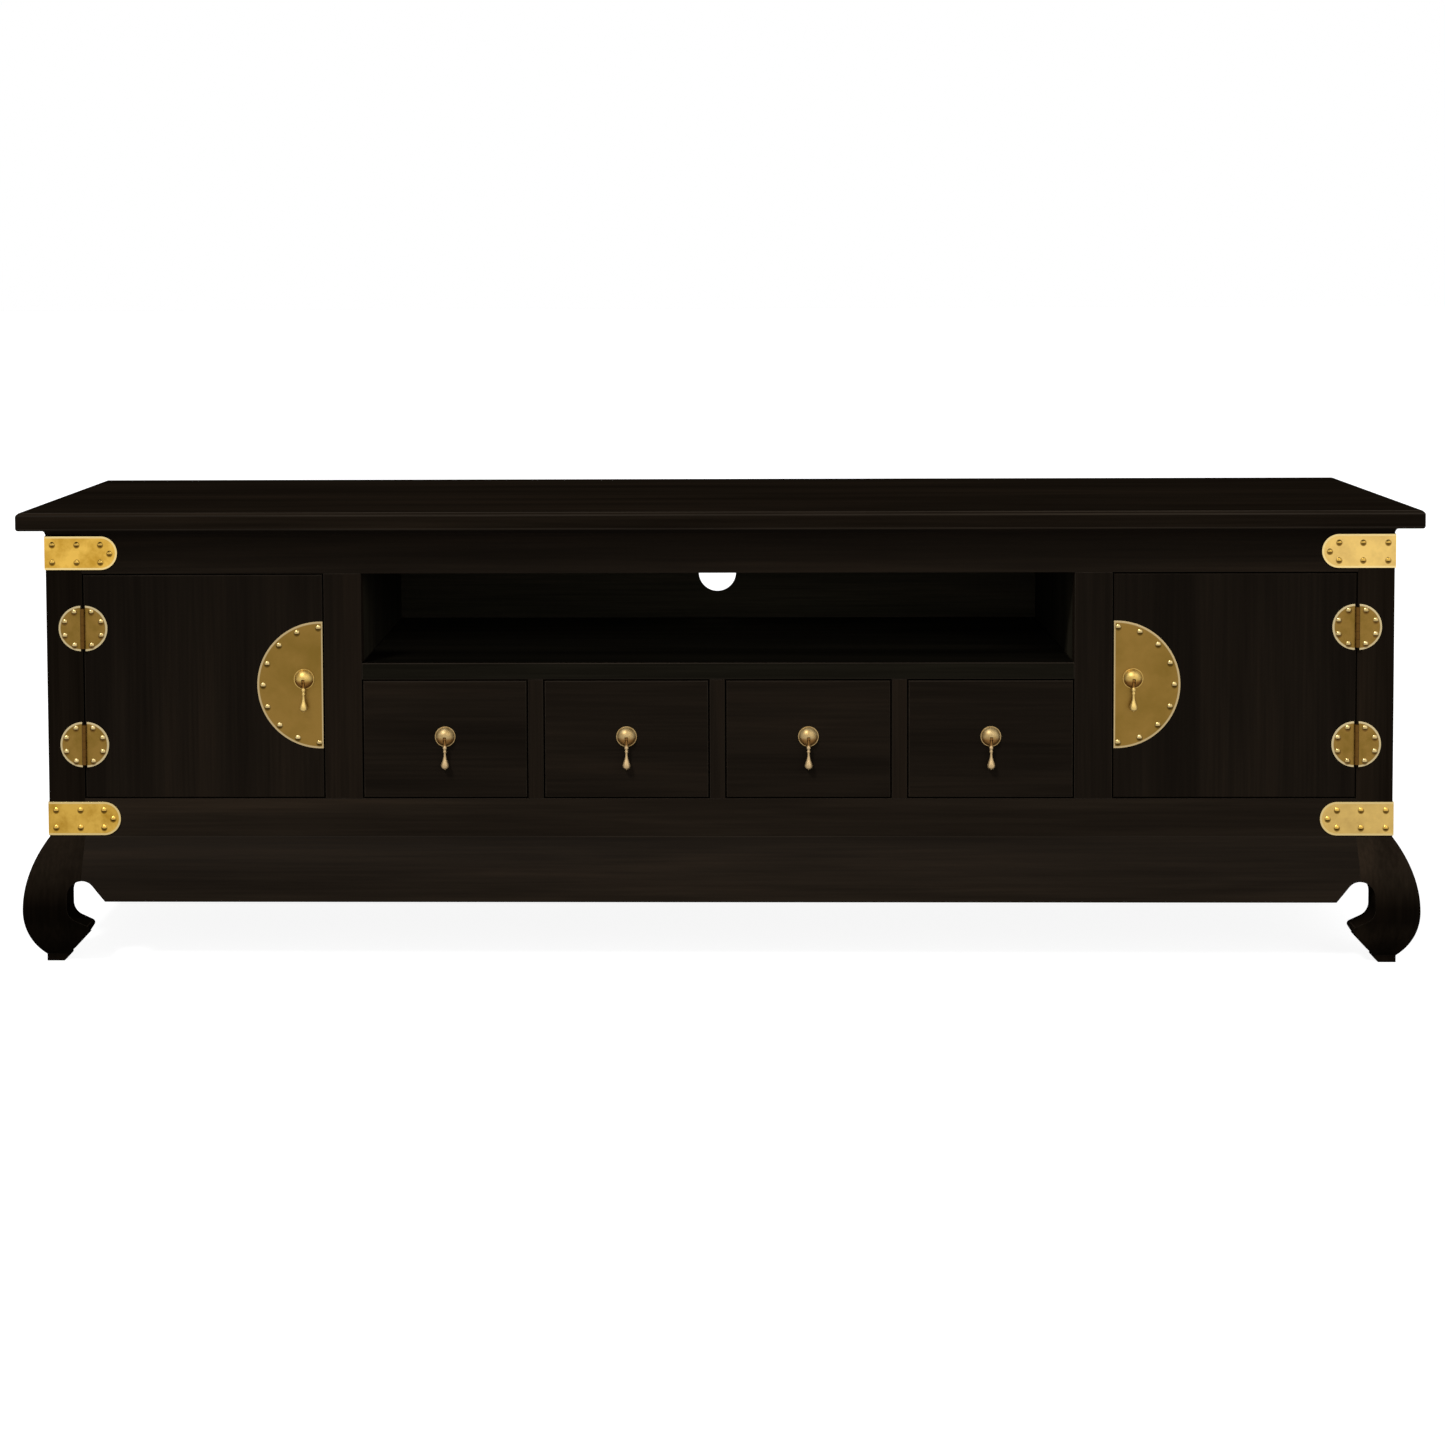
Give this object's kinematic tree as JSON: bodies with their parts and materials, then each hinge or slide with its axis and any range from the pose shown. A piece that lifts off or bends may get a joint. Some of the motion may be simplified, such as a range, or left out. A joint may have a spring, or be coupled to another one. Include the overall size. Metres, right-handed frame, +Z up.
{
  "type": "tv cabinet",
  "caption": "Low dark wood TV cabinet on curved horse-hoof legs, with an open niche over a row of drawers, a hinged door at each end, brass corner straps, round hinges and drop pulls.",
  "frame": {"origin": "on the floor under the middle of the top board, the middle of the whole cabinet's footprint", "axes": "+X to the right seen from the front along the cabinet's length, +Y from the front to the back, +Z up"},
  "size_m": [2, 0.5, 0.655],
  "materials": {
    "espresso_wood": "semi-gloss lacquer",
    "back_wood": "satin",
    "inside_wood": "satin",
    "bright_brass": "polished",
    "aged_brass": "aged, with a paler rim",
    "catch_plastic": "matte brown",
    "strike_steel": "plated"
  },
  "bodies": {
    "cabinet": {"top_board": "espresso_wood", "cove_moulding": "espresso_wood", "front_post_left": "espresso_wood", "front_post_right": "espresso_wood", "rear_post_left": "espresso_wood", "rear_post_right": "espresso_wood", "frieze_rail": "espresso_wood", "front_apron": "espresso_wood", "stile_left": "espresso_wood", "stile_right": "espresso_wood", "side_rail_left": "espresso_wood", "side_rail_right": "espresso_wood", "side_apron_left": "espresso_wood", "side_apron_right": "espresso_wood", "side_panel_left": "espresso_wood", "side_panel_right": "espresso_wood", "rear_rail": "back_wood", "rear_apron": "back_wood", "back_panel": "back_wood", "bottom_board": "back_wood", "partition_left": "back_wood", "partition_right": "back_wood", "media_shelf": "espresso_wood", "drawer_dividers": "espresso_wood", "drawer_stops": "inside_wood", "corner_straps": "bright_brass", "frame_nails": "aged_brass", "post_hinge_leaves": "aged_brass", "hinge_pins": "aged_brass", "magnetic_catches": "catch_plastic"},
    "door_left": {"door_left": "espresso_wood", "door_hinge_leaves_left": "aged_brass", "half_moon_plate_left": "aged_brass", "door_nails_left": "aged_brass", "catch_strike_left": "strike_steel", "door_pull_mount_left": "bright_brass"},
    "door_drop_left": {"door_drop_left": "bright_brass"},
    "door_right": {"door_right": "espresso_wood", "door_hinge_leaves_right": "aged_brass", "half_moon_plate_right": "aged_brass", "door_nails_right": "aged_brass", "catch_strike_right": "strike_steel", "door_pull_mount_right": "bright_brass"},
    "door_drop_right": {"door_drop_right": "bright_brass"},
    "drawer_1": {"drawer_1_front": "espresso_wood", "drawer_1_box": "inside_wood", "drawer_1_pull_mount": "bright_brass"},
    "drawer_1_drop": {"drawer_1_drop": "bright_brass"},
    "drawer_2": {"drawer_2_front": "espresso_wood", "drawer_2_box": "inside_wood", "drawer_2_pull_mount": "bright_brass"},
    "drawer_2_drop": {"drawer_2_drop": "bright_brass"},
    "drawer_3": {"drawer_3_front": "espresso_wood", "drawer_3_box": "inside_wood", "drawer_3_pull_mount": "bright_brass"},
    "drawer_3_drop": {"drawer_3_drop": "bright_brass"},
    "drawer_4": {"drawer_4_front": "espresso_wood", "drawer_4_box": "inside_wood", "drawer_4_pull_mount": "bright_brass"},
    "drawer_4_drop": {"drawer_4_drop": "bright_brass"}
  },
  "joints": [
    {"name": "door_left_hinge", "type": "hinge", "parent": "cabinet", "child": "door_left", "pos_m": [-0.915, -0.2144, 0.3995], "axis": [0, 0, -1], "range_deg": [0, 165]},
    {"name": "door_drop_left_swing", "type": "hinge", "parent": "door_left", "child": "door_drop_left", "pos_m": [-0.5955, -0.2194, 0.4085], "axis": [-1, 0, 0], "range_deg": [0, 85]},
    {"name": "door_right_hinge", "type": "hinge", "parent": "cabinet", "child": "door_right", "pos_m": [0.915, -0.2144, 0.3995], "axis": [0, 0, 1], "range_deg": [0, 165]},
    {"name": "door_drop_right_swing", "type": "hinge", "parent": "door_right", "child": "door_drop_right", "pos_m": [0.5955, -0.2194, 0.4085], "axis": [-1, 0, 0], "range_deg": [0, 85]},
    {"name": "drawer_1_slide", "type": "slide", "parent": "cabinet", "child": "drawer_1", "axis": [0, -1, 0], "range_m": [0, 0.3]},
    {"name": "drawer_1_drop_swing", "type": "hinge", "parent": "drawer_1", "child": "drawer_1_drop", "pos_m": [-0.39263, -0.2178, 0.3245], "axis": [-1, 0, 0], "range_deg": [0, 85]},
    {"name": "drawer_2_slide", "type": "slide", "parent": "cabinet", "child": "drawer_2", "axis": [0, -1, 0], "range_m": [0, 0.3]},
    {"name": "drawer_2_drop_swing", "type": "hinge", "parent": "drawer_2", "child": "drawer_2_drop", "pos_m": [-0.13087, -0.2178, 0.3245], "axis": [-1, 0, 0], "range_deg": [0, 85]},
    {"name": "drawer_3_slide", "type": "slide", "parent": "cabinet", "child": "drawer_3", "axis": [0, -1, 0], "range_m": [0, 0.3]},
    {"name": "drawer_3_drop_swing", "type": "hinge", "parent": "drawer_3", "child": "drawer_3_drop", "pos_m": [0.13087, -0.2178, 0.3245], "axis": [-1, 0, 0], "range_deg": [0, 85]},
    {"name": "drawer_4_slide", "type": "slide", "parent": "cabinet", "child": "drawer_4", "axis": [0, -1, 0], "range_m": [0, 0.3]},
    {"name": "drawer_4_drop_swing", "type": "hinge", "parent": "drawer_4", "child": "drawer_4_drop", "pos_m": [0.39263, -0.2178, 0.3245], "axis": [-1, 0, 0], "range_deg": [0, 85]}
  ]
}
